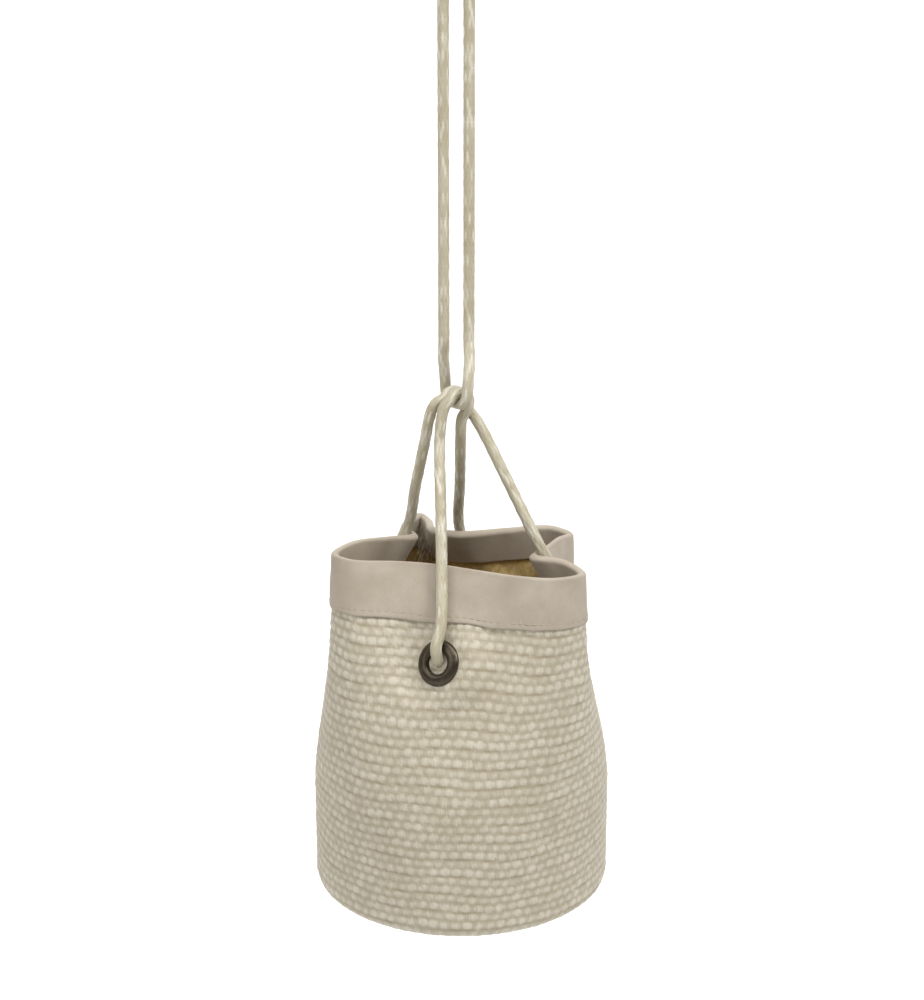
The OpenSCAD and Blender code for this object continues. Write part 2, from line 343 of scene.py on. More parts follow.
# the piece's own UV map, stretched to that many units across and down
def weavePlace(tree, across, down):
    place = addNode(tree, "ShaderNodeUVMap", {"uv_map": "weave"}, {})
    return addNode(tree, "ShaderNodeMapping", {}, {"Vector": place, "Scale": (across, down, 1)})


def noiseOn(tree, place, scale, detail=3.0, roughness=0.55, stretch=None):
    if stretch:
        place = addNode(tree, "ShaderNodeMapping", {}, {"Vector": place, "Scale": stretch})
    sockets = {"Vector": place, "Scale": scale, "Detail": detail, "Roughness": roughness}
    return addNode(tree, "ShaderNodeTexNoise", {}, sockets)


def objectPlace(tree):
    return addNode(tree, "ShaderNodeTexCoord", {}, {}, 3)  # the object's own coordinates


def pointValue(tree, name):
    return addNode(tree, "ShaderNodeAttribute", {"attribute_name": name}, {}, 2)


# bright threads on a plain ground, with a painted highlight on the raised beads and painted shade in the
# grooves; the inside is golden
clothFinish = {"bright": colour(204, 196, 179), "plain": colour(182, 173, 152),
               "grooveShade": colour(136, 121, 92), "insideBright": colour(226, 203, 146),
               "insidePlain": colour(204, 176, 112), "insideGrooveShade": colour(146, 116, 66),
               "roughness": 0.62}


def wovenMaterial(name, columns, rows, plain, bright, grooveShade):
    material, tree = newMaterial(name)
    weave = weavePlace(tree, columns, rows)
    place = objectPlace(tree)
    relief = pointValue(tree, "relief")
    bead = addNode(tree, "ShaderNodeVectorMath", {"operation": "FLOOR"}, {0: weave})
    tone = addNode(tree, "ShaderNodeTexWhiteNoise", {"noise_dimensions": "2D"}, {"Vector": bead})
    fibre = noiseOn(tree, place, 620, 4.0, 0.65, (1, 1, 0.5))
    patches = noiseOn(tree, place, 38, 2.0)
    strands = noiseOn(tree, weave, 2.4, 2.0, 0.5, (3.4, 0.5, 1))
    # the mix towards bright is partly the random tone of fibres, beads and patches, and partly a painted
    # highlight where the relief stands high
    lit = ((fibre - 0.5) * 2.2 + relief * 0.9 + (tone - 0.5) * 0.3 + (patches - 0.5) * 0.9 - 0.05).limit()
    face = mixColour(tree, lit, plain, bright)
    # painted shade: the groove colour is mixed in where the relief is low, between the beads
    grooveShadeMask = (0.95 - relief * 1.6).limit()
    shade = mixColour(tree, grooveShadeMask * 0.75, face, grooveShade)
    rough = clothFinish["roughness"] - (strands - 0.5) * 0.3
    finishMaterial(tree, {"Base Color": shade, "Roughness": rough.limit(0.3, 0.9), "Specular IOR Level": 0.4,
                          "Sheen Weight": 0.12, "Sheen Roughness": 0.5},
                   [(strands, 0.0006, 0.6), (fibre, 0.0003, 0.5)])
    return material


tapeFinish = {"light": colour(182, 171, 156), "dark": colour(154, 142, 125), "twill": 0.0009,
              "weft": 0.00055}


def tapeMaterial(name, across, down):
    material, tree = newMaterial(name)
    flat = weavePlace(tree, across, down)
    x, y = (addNode(tree, "ShaderNodeSeparateXYZ", {}, {"Vector": flat}, k) for k in (0, 1))
    place = objectPlace(tree)
    line = ((x + y) * (2 * math.pi / tapeFinish["twill"])).maths("SINE") * 0.5 + 0.5
    cross = ((x - y * 0.6) * (2 * math.pi / tapeFinish["weft"])).maths("SINE") * 0.5 + 0.5
    blur = noiseOn(tree, place, 60, 3.0)
    nap = noiseOn(tree, place, 1400, 3.0, 0.6)
    tone = ((blur - 0.5) * 1.4 + 0.55 + (line - 0.5) * 0.12 + (nap - 0.5) * 0.4).limit()
    face = mixColour(tree, tone, tapeFinish["dark"], tapeFinish["light"])
    finishMaterial(tree, {"Base Color": face, "Roughness": nap * 0.2 + 0.68, "Specular IOR Level": 0.3,
                          "Sheen Weight": 0.15, "Sheen Roughness": 0.45},
                   [(line * 0.7 + cross * 0.3, 0.00012, 0.35), (nap, 0.00015, 0.4), (blur, 0.0012, 0.25)])
    return material


# the cord's colours: straw, pale and fleck are its own, and the groove colour is painted shade in the grooves
# of the braid
cordFinish = {"straw": colour(168, 158, 130), "pale": colour(196, 189, 168), "fleck": colour(222, 217, 203),
              "grooveShade": colour(116, 103, 72)}


def cordMaterial(name):
    material, tree = newMaterial(name)
    place = objectPlace(tree)
    relief = pointValue(tree, "relief")
    tone = pointValue(tree, "tone")
    fibre = noiseOn(tree, place, 1500, 3.0, 0.6, (1, 1, 0.25))
    drift = noiseOn(tree, place, 70, 2.0)
    face = mixColour(tree, ((drift - 0.5) * 1.2 + 0.5 + (tone - 0.5) * 0.4).limit(), cordFinish["straw"],
                     cordFinish["pale"])
    flecked = mixColour(tree, ((tone - 0.62) * 2.0 * relief + (fibre - 0.5) * 0.5).limit(0, 0.8), face,
                        cordFinish["fleck"])
    # painted shade: the groove colour is mixed in where the braid's relief is low
    shade = mixColour(tree, (0.6 - relief).limit(0, 0.6), flecked, cordFinish["grooveShade"])
    rough = (0.5 - tone * 0.16 + (fibre - 0.5) * 0.2).limit(0.2, 0.8)
    sockets = {"Base Color": shade, "Roughness": rough, "Specular IOR Level": 0.5, "Sheen Weight": 0.1}
    finishMaterial(tree, sockets, [(fibre, 0.0003, 0.5)])
    return material


threadFinish = {"light": colour(184, 174, 158), "dark": colour(160, 148, 128)}


def threadMaterial(name):
    material, tree = newMaterial(name)
    place = objectPlace(tree)
    twist = noiseOn(tree, place, 2600, 2.0)
    shade = mixColour(tree, twist, threadFinish["dark"], threadFinish["light"])
    rough = 0.6 + (twist - 0.5) * 0.2
    finishMaterial(tree, {"Base Color": shade, "Roughness": rough, "Specular IOR Level": 0.35},
                   [(twist, 0.0002, 0.5)])
    return material


metalFinish = {"dark": (0.062, 0.050, 0.035), "worn": (0.17, 0.135, 0.09), "roughness": 0.36}


def metalMaterial(name):
    material, tree = newMaterial(name)
    place = objectPlace(tree)
    blotch = noiseOn(tree, place, 260, 4.0, 0.6)
    grain = noiseOn(tree, place, 2400, 2.0)
    edge = addNode(tree, "ShaderNodeNewGeometry", {}, {}, 7)  # pointiness, high on edges
    worn = ((edge - 0.5) * 5 + (blotch - 0.55) * 1.6).limit(0, 0.8)
    shade = mixColour(tree, worn, metalFinish["dark"], metalFinish["worn"])
    rough = (metalFinish["roughness"] + (blotch - 0.5) * 0.35 + (grain - 0.5) * 0.1).limit(0.18, 0.7)
    finishMaterial(tree, {"Base Color": shade, "Metallic": 0.85, "Roughness": rough},
                   [(blotch, 0.00025, 0.3)])
    return material


def floorMaterial():
    material, tree = newMaterial("paleFloor")
    pale = (0.93, 0.93, 0.925, 1)
    finishMaterial(tree, {"Base Color": pale, "Roughness": 0.9, "Specular IOR Level": 0.1})
    return material


weaveCount = {"columns": 96, "rows": 40}
tapeFlat = (0.421, 0.046)
insideCloth = wovenMaterial("wovenClothInside", weaveCount["columns"], weaveCount["rows"],
                            clothFinish["insidePlain"], clothFinish["insideBright"],
                            clothFinish["insideGrooveShade"])
wovenCloth = wovenMaterial("wovenStrawCloth", weaveCount["columns"], weaveCount["rows"], clothFinish["plain"],
                           clothFinish["bright"], clothFinish["grooveShade"])
twillTape = tapeMaterial("beigeTwillTape", *tapeFlat)
braidedCord = cordMaterial("waxedStrawCord")
sewingThread = threadMaterial("creamThread")
darkBrass = metalMaterial("antiqueDarkBrass")
print("materials ready")


def setMaterial(piece, material):
    piece.data.materials.clear()
    piece.data.materials.append(material)


# gives a piece its finish and its body, and hides the CAD nodes that it stands for
def dress(piece, material, slotName, body, *nodes):
    if material:
        setMaterial(piece, material)
    if nodes:
        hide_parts(*nodes)
    if body:
        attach(piece, body)
    return piece


def addPointValues(piece, name, values):
    attribute = piece.data.attributes.new(name, "FLOAT", "POINT")
    attribute.data.foreach_set("value", np.asarray(values, np.float32))


# the braid of the cords; middle is the height of the braid that lies at the stated radius
braid = {"strands": 8, "pitch": 0.030, "relief": 0.00034, "middle": 0.62, "sides": 40, "ring": 0.0006}


# how high the braid stands at an angle round the cord and a distance along it, and the tone there
def braidAt(angle, along):
    turn = angle / (2 * math.pi) * braid["strands"]
    a = turn + along / braid["pitch"] * braid["strands"] / 2
    b = turn - along / braid["pitch"] * braid["strands"] / 2
    i, j = np.floor(a), np.floor(b)
    fa, fb = a - i - 0.5, b - j - 0.5
    over = (i + j) % 2 == 0
    wide = np.where(over, fb, fa)
    long = np.where(over, fa, fb)
    height = np.sqrt(np.clip(1 - (1.9 * wide) ** 2, 0, 1)) * (1 - 1.6 * long * long)
    tone = scatter(np.where(over, i, i + 0.37), np.where(over, j + 0.11, j % braid["strands"]), 3.0)
    return np.clip(height, 0, 1), tone


# directions across a path, turned as little as possible from ring to ring
def acrossPath(path):
    ahead = unit(np.gradient(path, axis=0))
    v = np.array([0.3, 0.5, 0.8])
    sideways = []
    for t in ahead:
        v = v - (v @ t) * t
        v = v / np.linalg.norm(v)
        sideways.append(v)
    sideways = np.array(sideways)
    return sideways, np.cross(ahead, sideways)


def pathLength(path):
    return float(np.linalg.norm(np.diff(path, axis=0), axis=1).sum())


def cordTube(name, path, radius=cordRadius, sides=braid["sides"], relief=braid["relief"]):
    piece, around, along = addGrid(name, sides, len(path) - 1)
    ring = np.rint(along * (len(path) - 1)).astype(int)
    angle = -around * 2 * math.pi
    step = np.concatenate([[0], np.cumsum(np.linalg.norm(np.diff(path, axis=0), axis=1))])
    height, tone = braidAt(angle % (2 * math.pi), step[ring])
    u, v = acrossPath(path)
    out = np.cos(angle)[:, None] * u[ring] + np.sin(angle)[:, None] * v[ring]
    swell = radius + relief * (height - braid["middle"])
    setPlaces(piece, path[ring] + out * swell[:, None])
    addPointValues(piece, "relief", height)
    addPointValues(piece, "tone", tone)
    closeEnds(piece)
    return piece


# merges the seam along the tube and closes both ends with faces
def closeEnds(piece):
    makeActive(piece)
    bpy.ops.object.mode_set(mode="EDIT")
    bpy.ops.mesh.select_all(action="SELECT")
    bpy.ops.mesh.remove_doubles(threshold=seamGap)
    bpy.ops.mesh.select_all(action="DESELECT")
    bpy.ops.mesh.select_mode(type="EDGE")
    bpy.ops.mesh.select_non_manifold()
    bpy.ops.mesh.fill()
    bpy.ops.mesh.select_mode(type="VERT")
    bpy.ops.mesh.select_all(action="SELECT")
    bpy.ops.mesh.normals_make_consistent(inside=False)
    bpy.ops.object.mode_set(mode="OBJECT")
    bpy.ops.object.shade_smooth()


loop = {"bendRadius": cord["strandGap"] / 2, "joinHeight": -0.026, "twistHeight": -cord["loopDrop"] + 0.030,
        "barHalf": 3, "cornerRadius": 6.5}


# points of the hitch are along the crossing, across it and up from the bar, in millimetres
def hitchPoint(q):
    turn = math.radians(cord["hitchTurn"])
    x = q[0] * math.cos(turn) - q[1] * math.sin(turn)
    y = q[0] * math.sin(turn) + q[1] * math.cos(turn)
    return np.array([x, y, q[2]]) * mm + np.array([0, 0, -cord["loopDrop"]])


# the straight bar of the lower bight, its round corner and the arm above it
def halfBight():
    r = loop["cornerRadius"]
    turns = np.radians([0, 22.5, 45, 67.5, 90])
    corner = [(0, -loop["barHalf"] - r * math.sin(a), r * (1 - math.cos(a))) for a in turns]
    return [(0, 0, 0)] + corner + [(0.7, -8.9, 12), (2.8, -6.5, 19)]


def loopRoute():
    r = loop["bendRadius"]
    top = cordRadius - r
    low = loop["twistHeight"]
    join = loop["joinHeight"]
    bend = [(-r * math.cos(a), 0, top + r * math.sin(a)) for a in np.radians(range(0, 181, 15))]
    strand = (-0.07, -0.11, -0.15, low + 0.012, low, low - 0.0027)
    rightStrand = [(r, 0, z) for z in (top - 0.004, -0.03) + strand]
    leftStrand = [(-r, 0, z) for z in strand[::-1] + (join - 0.008,)]
    front = [hitchPoint(q) for q in halfBight()]
    back = [hitchPoint((-q[0], -q[1], q[2])) for q in halfBight()]
    ends = [(-r, 0, join + 0.0002), (-r, 0, join + 0.008), (-r, 0, top - 0.004)]
    return smoothPath(ends + bend + rightStrand + front[:0:-1] + back + leftStrand + [(-r, 0, join - 0.0002)],
                      braid["ring"])


# in millimetres: the slings' middles lie this far above the bar's middle, and to either side
saddle = {"rise": cord["diameter"] / mm + 0.3, "side": cordRadius / mm + 0.2}


def overSaddle(across):
    rise = saddle["rise"]
    return [(rise * math.cos(a), across, rise * math.sin(a)) for a in np.radians(range(150, 29, -30))]


overFrontBack = [(-9.6, -1.1, -17), (-8.8, -1, -8), (-7.3, -1.5, -1)] + overSaddle(-saddle["side"])
overFrontBack += [(4.8, -1.9, -2.5), (3.5, 0.9, -7.5), (4.4, 3.4, -16)]
overLeftRight = [(-10.5, 10, -17), (-10.1, 7.5, -8), (-8.6, 5.2, -1)] + overSaddle(saddle["side"])
overLeftRight += [(7, 3.4, -2.5), (9.5, 1, -6.5), (11.8, -3.2, -13)]
eyeletRise = 1.6 * mm  # how far an eyelet's flange stands off the cloth


# from the top of a leg over the rim and in through its eyelet to the stopper knot
def legRoute(i):
    at, out = eyeletAt[i], eyeletOut[i]
    up = unit(np.array([0, 0, 1]) - out * out[2])
    boundRim = halfWall + bag["tape"]
    return [skin(foldAt[i], 0.0, boundRim + cordRadius + 0.6 * mm)[0] + np.array([0, 0, mm]),
            at + up * 16 * mm + out * (boundRim + cordRadius + 1.2 * mm),
            at + up * 6 * mm + out * (halfWall + eyeletRise + cordRadius + 0.2 * mm),
            at + out * (halfWall + 0.6 * mm) + up * 1.2 * mm,
            at - out * (halfWall - 0.2 * mm) + up * 0.2 * mm,
            at - out * (halfWall + 1.4 * mm)]


def slingRoute(over, first, last):
    a, b = legRoute(first)[::-1], legRoute(last)
    top = [hitchPoint(q) for q in over]
    return smoothPath(a + [(a[-1] + top[0]) / 2] + top + [(top[-1] + b[0]) / 2] + b, braid["ring"])


loopPath = loopRoute()
loopCord = cordTube("loopCord", loopPath)
dress(loopCord, braidedCord, "cord", None, "loop_strand_left", "loop_strand_right", "loop_top_bight",
      "loop_lower_bight")
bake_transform(loopCord)

slings = {"slingFrontBack": (overFrontBack, 0, 2, "sling_front_back"),
          "slingLeftRight": (overLeftRight, 3, 1, "sling_left_right")}
slingPaths = {}
for name, (over, first, last, node) in slings.items():
    slingPaths[name] = slingRoute(over, first, last)
    dress(cordTube(name, slingPaths[name]), braidedCord, "cord", "bag", node)
print("loop and slings laid,", round(pathLength(loopPath), 3), "m of loop")


# the knots: turns round the left strand at the join, and the size of the overhand knots inside the eyelets
knots = {"joinTurns": 3, "joinRings": 220, "size": 1.95 * mm, "depth": 1.35, "inside": 6.3 * mm,
         "rings": 150, "tail": (-2.5 * mm, 4 * mm, -5 * mm), "tailRings": 12, "drawnIn": 0.86}
foldNames = ("front", "right", "back", "left")


# the ends of the loop, wound round the left strand in a barrel
def addJoinKnot():
    turns = knots["joinTurns"]
    reach = cord["diameter"]
    t = np.linspace(0, 1, knots["joinRings"])
    angle = t * turns * 2 * math.pi
    path = np.stack([-loop["bendRadius"] + reach * np.cos(angle), reach * np.sin(angle),
                     loop["joinHeight"] + (t - 0.5) * turns * cord["diameter"]], axis=1)
    return cordTube("joinKnot", path)


# an overhand knot inside an eyelet, drawn up tight, with a short tail
def addStopperKnot(i):
    t = np.linspace(0.25, 2 * math.pi - 0.25, knots["rings"])
    x = np.sin(t) + 2 * np.sin(2 * t)
    y = np.cos(t) - 2 * np.cos(2 * t)
    knot = np.stack([x, y, -knots["depth"] * np.sin(3 * t)], axis=1) * knots["size"]
    tail = knot[-1] + np.outer(np.linspace(0.1, 1, knots["tailRings"]), knots["tail"])
    turn = Vector(eyeletOut[i]).to_track_quat("Z", "Y").to_matrix()
    middle = eyeletAt[i] - eyeletOut[i] * (halfWall + knots["inside"])
    path = np.vstack([knot, tail]) @ np.array(turn).T + middle
    return cordTube("stopperKnot" + foldNames[i].capitalize(), path, cordRadius * knots["drawnIn"])


dress(addJoinKnot(), braidedCord, "cord", "loop", "loop_join_knot")
for i, node in enumerate(foldNames):
    dress(addStopperKnot(i), braidedCord, "cord", "bag", "stopper_knot_" + node)
print("knots tied")


# the weave of the wall; middle is the height of the weave that lies in the face of the cloth
weave = {"relief": 0.0007, "reliefInside": 0.0005, "middle": 0.42, "perBead": 4, "waver": 0.22,
         "inset": 0.0003, "flatRound": 0.0098, "underTape": 0.0165}


# height of the weave from 0 in the grooves to 1 on the beads, x in columns and y in rows
def weaveHeight(x, y):
    columns = weaveCount["columns"]
    row = np.floor(y)
    big = row % 2
    fromRow = y - row - 0.5
    across = x + 0.5 * big + 0.10 * np.sin(2 * math.pi * x * 7 / columns + y * 0.9) + 0.22 * fromRow
    bead = np.floor(across)
    luck = scatter(bead % columns, row)
    shift = scatter(bead % columns, row, 2.0)
    fromBead = (across - bead - 0.5 + 0.20 * (shift - 0.5)) * (2.45 - 0.50 * luck)
    fromMiddle = (fromRow + 0.14 * (luck - 0.5)) * (2.35 - 0.25 * big - 0.25 * shift)
    reach = np.abs(fromBead) ** 2 + np.abs(fromMiddle) ** 2
    knub = np.clip(1 - reach, 0, 1) ** 0.6 * (0.74 + 0.12 * big + 0.30 * (luck - 0.5))
    under = 0.42 * np.clip(1 - np.abs(2.0 * fromRow) ** 2.5, 0, 1) ** 0.7
    between = 0.30 * np.clip(1 - np.abs(y / 2 - np.floor(y / 2) - 0.5) * 5, 0, 1)
    return np.maximum(np.maximum(knub, under), between)


# lays a grid on one face of the wall: face is 1 outside and -1 inside
def layFace(piece, x, y, face):
    edge = bag["edgeRadius"]
    straight = bag["height"] - edge
    s = y * (straight + edge * math.pi / 2)
    past = np.clip((s - straight) / edge, 0, math.pi / 2)
    d = np.where(s < straight, s, straight + edge * np.sin(past))
    d = np.clip(d, 0, bag["height"] - 1e-7)
    column = x * weaveCount["columns"] + (0.5 if face < 0 else 0)
    row = y * weaveCount["rows"]
    turn = 2 * math.pi * x
    waver = np.sin(3 * turn + 1.4 * np.sin(2 * turn) + row * 0.05) + 0.5 * np.sin(11 * turn + row * 0.4)
    row = row + weave["waver"] * waver * np.clip(y * 6, 0, 1) * np.clip(6 - y * 6, 0, 1)
    height = weaveHeight(column, row)
    middle = cloth(x * rimSpans, d)
    near = np.min([length(middle - at)[:, 0] for at in eyeletAt], axis=0)
    bare = np.clip((near - weave["flatRound"]) / 0.003, 0, 1)
    bare = bare * np.clip((s - weave["underTape"]) / 0.004, 0, 1) * np.clip((1 - y) * 30, 0, 1)
    relief = weave["relief"] if face > 0 else weave["reliefInside"]
    stand = halfWall - weave["inset"] + relief * (height - weave["middle"]) * bare
    setPlaces(piece, skin(x * rimSpans, d, face * stand))
    addPointValues(piece, "relief", np.clip(height, 0, 1))
    setMaterial(piece, wovenCloth if face > 0 else insideCloth)


def addWovenWall():
    across = weaveCount["columns"] * weave["perBead"]
    outside, x, y = addGrid("wovenWall", across, weaveCount["rows"] * weave["perBead"])
    layFace(outside, x, y, 1)
    inside, x, y = addGrid("wallInside", across, weaveCount["rows"] * 2)
    layFace(inside, x, y, -1)
    inside.data.flip_normals()
    wall = joinPieces("wovenWall", [outside, inside])
    makeActive(wall)
    bpy.ops.object.mode_set(mode="EDIT")
    bpy.ops.mesh.select_all(action="SELECT")
    bpy.ops.mesh.remove_doubles(threshold=seamGap)
    bpy.ops.mesh.select_all(action="DESELECT")
    bpy.ops.object.mode_set(mode="OBJECT")
    for height in (0.0, bag["height"]):
        bridgeAt(wall, rimHeight - height)
    bpy.ops.object.shade_smooth()
    return wall


# bridges the two open edges of the wall nearest that height
def bridgeAt(piece, z):
    makeActive(piece)
    bpy.ops.object.mode_set(mode="EDIT")
    bpy.ops.mesh.select_mode(type="EDGE")
    bpy.ops.mesh.select_all(action="DESELECT")
    bpy.ops.mesh.select_non_manifold()
    bpy.ops.object.mode_set(mode="OBJECT")
    for edge in piece.data.edges:
        if edge.select:
            low, high = (piece.data.vertices[k].co.z for k in edge.vertices)
            edge.select = abs((low + high) / 2 - z) < 0.01
    for vertex in piece.data.vertices:
        vertex.select = False
    bpy.ops.object.mode_set(mode="EDIT")
    bpy.ops.mesh.select_mode(type="EDGE")
    bpy.ops.mesh.bridge_edge_loops()
    bpy.ops.mesh.select_mode(type="VERT")
    bpy.ops.object.mode_set(mode="OBJECT")


wovenWall = addWovenWall()
dress(wovenWall, None, "woven_cloth", "bag", "woven_wall")
print("wall woven,", len(wovenWall.data.polygons), "faces")


# one tape folded over the raw edge of the wall
binding = {"around": 576, "under": 0.0004, "stand": 0.0003, "crown": 0.0014, "pucker": 0.00012,
           "stitchPitch": 0.0031, "stitchIn": 0.0026, "fineWaves": 0.00013, "slowWaves": 0.00034,
           "edgeWaves": 0.00035, "lift": 0.0005}


# the tape's section as pairs of offset and depth, closed
def bindingSection():
    under = halfWall - binding["under"]
    out = halfWall + bag["tape"] + binding["stand"]
    hem = bag["hem"]
    section = [(under, hem), (out - 0.0002, hem + 0.0001)]
    section += [(out, hem - d) for d in (0.0006, 0.0014, 0.002, 0.0026, 0.0032, 0.004)]
    section += [(out, d * mm) for d in (15, 12.5, 10, 7.5, 5, 3, 1.5, 0.5)]
    section += [(out * math.cos(a), -binding["crown"] * math.sin(a)) for a in np.radians(range(15, 166, 15))]
    narrow = bag["hemInside"] / hem
    section += [(-a, b * narrow) for a, b in section[::-1] if b > 0]
    section += [(-under, 0.006), (-under, 0.001), (0, -0.0004), (under, 0.001), (under, 0.006)]
    return np.array(section + [section[0]])


def addBinding():
    hem = bag["hem"]
    section = bindingSection()
    piece, x, y = addGrid("rimBinding", binding["around"], len(section) - 1)
    k = np.rint(y * (len(section) - 1)).astype(int)
    offset, depth = section[k, 0], section[k, 1]
    visible = np.clip((np.abs(offset) - halfWall + binding["under"]) / 0.0004, 0, 1)
    along = x * tapeFlat[0]
    atStitch = np.exp(-((depth - hem + binding["stitchIn"]) / 0.0011) ** 2) * (offset > 0)
    pulled = 0.5 + 0.5 * np.cos(2 * math.pi * along / binding["stitchPitch"])
    turn = 2 * math.pi * x
    waves = binding["fineWaves"] * ripple(turn, 31, 9, depth / 0.005)
    waves = waves + binding["slowWaves"] * ripple(turn, 11, 4, depth / 0.009 + 2)
    swell = -binding["pucker"] * atStitch * pulled + waves * np.clip(1 - np.abs(depth - 0.010) / 0.015, 0, 1)
    low = depth + binding["edgeWaves"] * ripple(turn, 19, 5, 3.0) * np.clip(depth / hem, 0, 1) ** 3
    lift = binding["lift"] * ripple(turn, 5, 3, 1.0) * np.clip(1 - depth / 0.01, 0, 1)
    places = skin(x * rimSpans, np.maximum(low, 0), offset + np.sign(offset) * swell * visible)
    places[:, 2] += np.maximum(-low, 0) + lift
    setPlaces(piece, places)
    closeSeams(piece)
    return piece


rimBinding = addBinding()
dress(rimBinding, twillTape, "twill_tape", "bag", "rim_binding")
print("rim bound")


# one stitch is a short thread that dives at both ends
stitch = {"length": 0.0024, "radius": 0.00028, "sides": 6, "dive": 0.00034, "stand": 0.00022}


def addStitches(name, places, alongs, outs):
    deselectAll()
    bpy.ops.mesh.primitive_cylinder_add(vertices=stitch["sides"], radius=stitch["radius"],
                                        depth=stitch["length"], end_fill_type="TRIFAN",
                                        rotation=(0, math.pi / 2, 0))
    model = bpy.context.object
    bpy.ops.object.transform_apply(location=False, rotation=True, scale=True)
    bpy.ops.object.mode_set(mode="EDIT")
    for part in (0.28, -0.28):
        bpy.ops.mesh.select_all(action="SELECT")
        bpy.ops.mesh.bisect(plane_co=(stitch["length"] * part, 0, 0), plane_no=(1, 0, 0))
    bpy.ops.object.mode_set(mode="OBJECT")
    for vertex in model.data.vertices:
        end = abs(vertex.co.x) > stitch["length"] * 0.4
        vertex.co.z -= stitch["dive"] if end else 0
        vertex.co.y *= 0.7 if end else 1
    bpy.ops.object.shade_smooth()
    parts = []
    for place, along, out in zip(places, alongs, outs):
        copy = model.copy()
        copy.data = model.data.copy()
        bpy.context.scene.collection.objects.link(copy)
        z = Vector(out).normalized()
        x = (Vector(along) - z * Vector(along).dot(z)).normalized()
        y = z.cross(x)
        turn = Matrix((x, y, z)).transposed().to_4x4()
        copy.data.transform(Matrix.Translation(Vector(place)) @ turn)
        parts.append(copy)
    bpy.data.objects.remove(model)
    return joinPieces(name, parts)


def rimStitches():
    count = round(tapeFlat[0] / binding["stitchPitch"])
    u = (np.arange(count) + 0.5) * rimSpans / count
    depth = np.full(count, bag["hem"] - binding["stitchIn"])
    stand = halfWall + bag["tape"] + stitch["stand"]
    places = skin(u, depth, stand)
    return addStitches("rimStitches", places, skin(u + 0.02, depth, stand) - places, clothNormal(u, depth))


dress(rimStitches(), sewingThread, "sewing_thread", "bag", "rim_stitching")
print("rim stitched")


# threads that have worked loose from the raw edge of the cloth at the left fold
fray = {"count": 16, "radius": 0.00016, "sides": 6, "step": 0.0016, "from": 13.0, "to": 14.4}


def addFray():
    parts = []
    for k in range(fray["count"]):
        luck = [scatter(k, n, 5.0) for n in range(8)]
        u = fray["from"] + (fray["to"] - fray["from"]) * (k + luck[0]) / fray["count"]
        start = skin(u, 0.003 + 0.006 * luck[1], -halfWall - 0.0009)[0]
        lean = np.array([(luck[2] - 0.5) * 0.010 - 0.003, (luck[3] - 0.7) * 0.008, -0.010 - 0.014 * luck[4]])
        curl = np.array([(luck[5] - 0.5) * 0.006, (luck[6] - 0.5) * 0.004, 0])
        route = [start + lean * t + curl * math.sin(t * 5 + luck[7] * 6) for t in (0, 0.25, 0.5, 0.75, 1)]
        path = smoothPath(route, fray["step"])
        parts.append(cordTube("loose" + str(k), path, fray["radius"], fray["sides"], 0.0))
    return joinPieces("frayedThreads", parts)


dress(addFray(), sewingThread, "sewing_thread", "bag")
print("threads frayed")


# a ring is pulled out of a circle along these radii and heights, in millimetres
eyeletProfile = [(4.95, -2.6), (4.9, -1.5), (4.9, 1.0), (5.0, 1.9), (5.35, 2.55), (5.95, 2.95), (6.9, 3.1),
                 (8.0, 2.9), (9.1, 2.4), (9.9, 1.75), (10.25, 1.25), (10.3, 1.0), (10.0, 0.9), (8.5, 0.95),
                 (6.2, 0.95), (5.9, 0.6), (5.9, -2.6)]


eyeletFinish = {"facets": 64, "smoothBelow": 50}


def addEyelet():
    deselectAll()
    radius, height = eyeletProfile[0]
    bpy.ops.mesh.primitive_circle_add(vertices=eyeletFinish["facets"], radius=radius * mm,
                                      location=(0, 0, height * mm), fill_type="NOTHING")
    eyelet = bpy.context.object
    bpy.ops.object.transform_apply(location=True, rotation=False, scale=False)
    bpy.ops.object.mode_set(mode="EDIT")
    bpy.ops.mesh.select_all(action="SELECT")
    for (r0, z0), (r1, z1) in zip(eyeletProfile, eyeletProfile[1:] + eyeletProfile[:1]):
        bpy.ops.mesh.extrude_edges_move(TRANSFORM_OT_translate={"value": (0, 0, (z1 - z0) * mm)})
        bpy.ops.transform.resize(value=(r1 / r0, r1 / r0, 1), center_override=(0, 0, z1 * mm))
    bpy.ops.mesh.select_all(action="SELECT")
    bpy.ops.mesh.remove_doubles(threshold=seamGap)
    bpy.ops.mesh.normals_make_consistent(inside=False)
    bpy.ops.object.mode_set(mode="OBJECT")
    bpy.ops.object.shade_smooth_by_angle(angle=math.radians(eyeletFinish["smoothBelow"]))
    return eyelet


eyeletModel = addEyelet()
for i, node in enumerate(foldNames):
    eyelet = eyeletModel.copy()
    eyelet.data = eyeletModel.data.copy()
    eyelet.name = "eyelet" + node.capitalize()
    bpy.context.scene.collection.objects.link(eyelet)
    turn = Vector(eyeletOut[i]).to_track_quat("Z", "Y").to_matrix().to_4x4()
    eyelet.data.transform(Matrix.Translation(Vector(eyeletAt[i])) @ turn)
    dress(eyelet, darkBrass, "eyelet_metal", "bag", "eyelet_" + node)
    setMaterial(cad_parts["washer_" + node], darkBrass)
bpy.data.objects.remove(eyeletModel)
print("eyelets set")


# a woven disc cut out of a square of cloth, then thickened; over is how much larger the square is
basePanel = {"faces": 112, "pitch": 0.0044, "rowScale": 1.07, "relief": 0.0009, "inset": 0.0006,
             "overlap": 0.0012, "over": 1.02, "thickness": 0.0018, "columns": 28, "rows": 30}


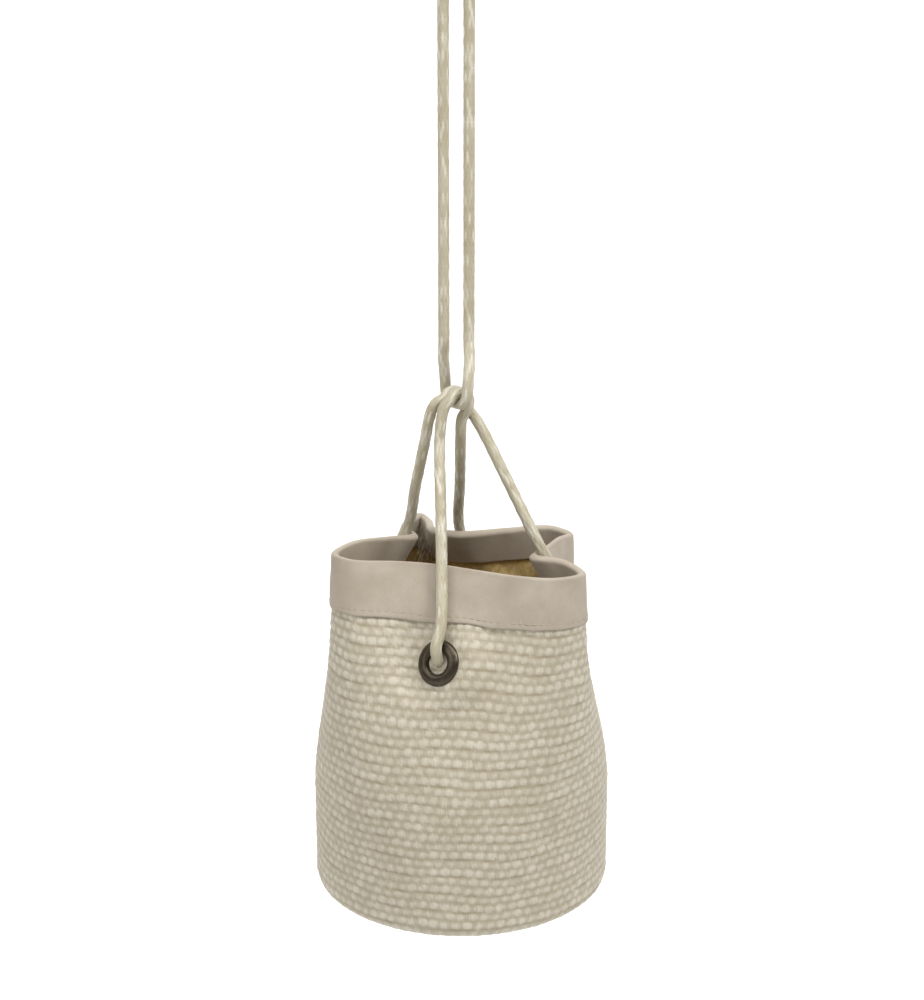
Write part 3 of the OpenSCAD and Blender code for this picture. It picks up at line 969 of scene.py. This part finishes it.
def addBase():
    radius = bag["diameter"] / 2 - bag["edgeRadius"] + basePanel["overlap"]
    piece, x, y = addGrid("wovenBase", basePanel["faces"], basePanel["faces"])
    across = (x - 0.5) * 2 * radius * basePanel["over"]
    down = (y - 0.5) * 2 * radius * basePanel["over"]
    reach = np.hypot(across, down)
    pitch = basePanel["pitch"]
    height = weaveHeight(across / pitch + 100, down / pitch * basePanel["rowScale"] + 100)
    low = rimHeight - bag["height"] - (halfWall - basePanel["inset"])
    low = low - basePanel["relief"] * (height - weave["middle"])
    setPlaces(piece, np.stack([across + bag["right"], down, low], axis=1))
    addPointValues(piece, "relief", height)
    makeActive(piece)
    bpy.ops.object.mode_set(mode="EDIT")
    bpy.ops.mesh.select_mode(type="VERT")
    bpy.ops.mesh.select_all(action="DESELECT")
    bpy.ops.object.mode_set(mode="OBJECT")
    for vertex, far in zip(piece.data.vertices, reach):
        vertex.select = bool(far > radius)
    bpy.ops.object.mode_set(mode="EDIT")
    bpy.ops.mesh.delete(type="VERT")
    bpy.ops.mesh.select_all(action="SELECT")
    bpy.ops.mesh.normals_make_consistent(inside=False)
    bpy.ops.object.mode_set(mode="OBJECT")
    bpy.ops.object.shade_smooth()
    if piece.data.polygons[0].normal.z > 0:
        piece.data.flip_normals()
    thick = piece.modifiers.new("thickness", "SOLIDIFY")
    thick.thickness = basePanel["thickness"]
    thick.offset = -1
    bpy.ops.object.modifier_apply(modifier=thick.name)
    return piece


baseCloth = wovenMaterial("wovenStrawBase", basePanel["columns"], basePanel["rows"], clothFinish["plain"],
                          clothFinish["bright"], clothFinish["grooveShade"])
base = dress(addBase(), baseCloth, "woven_cloth", "bag", "base_panel")
setMaterial(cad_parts["base_seam_tape"], twillTape)
setMaterial(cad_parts["side_seam_tape"], twillTape)
setMaterial(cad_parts["base_stitching"], sewingThread)
print("base sewn in")


# a pale sweep that turns up into a backdrop, and soft lights, in metres and watts
studio = {"floor": -0.75, "backdrop": 1.6, "bend": 0.7, "width": 12, "front": -3.5, "length": 9.0,
          "world": 0.34}
lamps = [("keyLight", (1.15, -0.95, 1.4), (0, 0, -0.3), 0.6, 26),
         ("fillLight", (-1.4, -0.9, 1.0), (0, 0, -0.3), 1.4, 15),
         ("topLight", (0.1, -0.55, 1.4), (0, 0, -0.3), 0.9, 14),
         ("backdropWash", (0, 0.9, 1.2), (0, 2.2, 0), 1.6, 30)]


def addSweep():
    deselectAll()
    bpy.ops.mesh.primitive_grid_add(x_subdivisions=2, y_subdivisions=60, size=1)
    sweep = bpy.context.object
    sweep.name = "paleSweep"
    places = getPlaces(sweep)
    x = places[:, 0] * studio["width"]
    s = (places[:, 1] + 0.5) * studio["length"] + studio["front"]
    bend = studio["bend"]
    start = studio["backdrop"]
    turn = np.clip((s - start) / bend, 0, math.pi / 2)
    past = np.maximum(s - start - bend * math.pi / 2, 0)
    y = np.where(s < start, s, start + bend * np.sin(turn))
    z = studio["floor"] + np.where(s < start, 0, bend * (1 - np.cos(turn)) + past)
    setPlaces(sweep, np.stack([x, y, z], axis=1))
    bpy.ops.object.shade_smooth()
    setMaterial(sweep, floorMaterial())


def addLamp(name, place, aim, size, power):
    data = bpy.data.lights.new(name, "AREA")
    data.size = size
    data.energy = power
    light = bpy.data.objects.new(name, data)
    light.location = place
    light.rotation_euler = (Vector(place) - Vector(aim)).to_track_quat("Z", "Y").to_euler()
    bpy.context.scene.collection.objects.link(light)


def addStudio():
    addSweep()
    for lamp in lamps:
        addLamp(*lamp)
    world = bpy.data.worlds.new("softRoom")
    world.use_nodes = True
    background = world.node_tree.nodes["Background"].inputs
    background["Color"].default_value = (1, 1, 1, 1)
    background["Strength"].default_value = studio["world"]
    bpy.context.scene.world = world
    bpy.context.scene.view_settings.view_transform = "Standard"


addStudio()
print("studio lit")
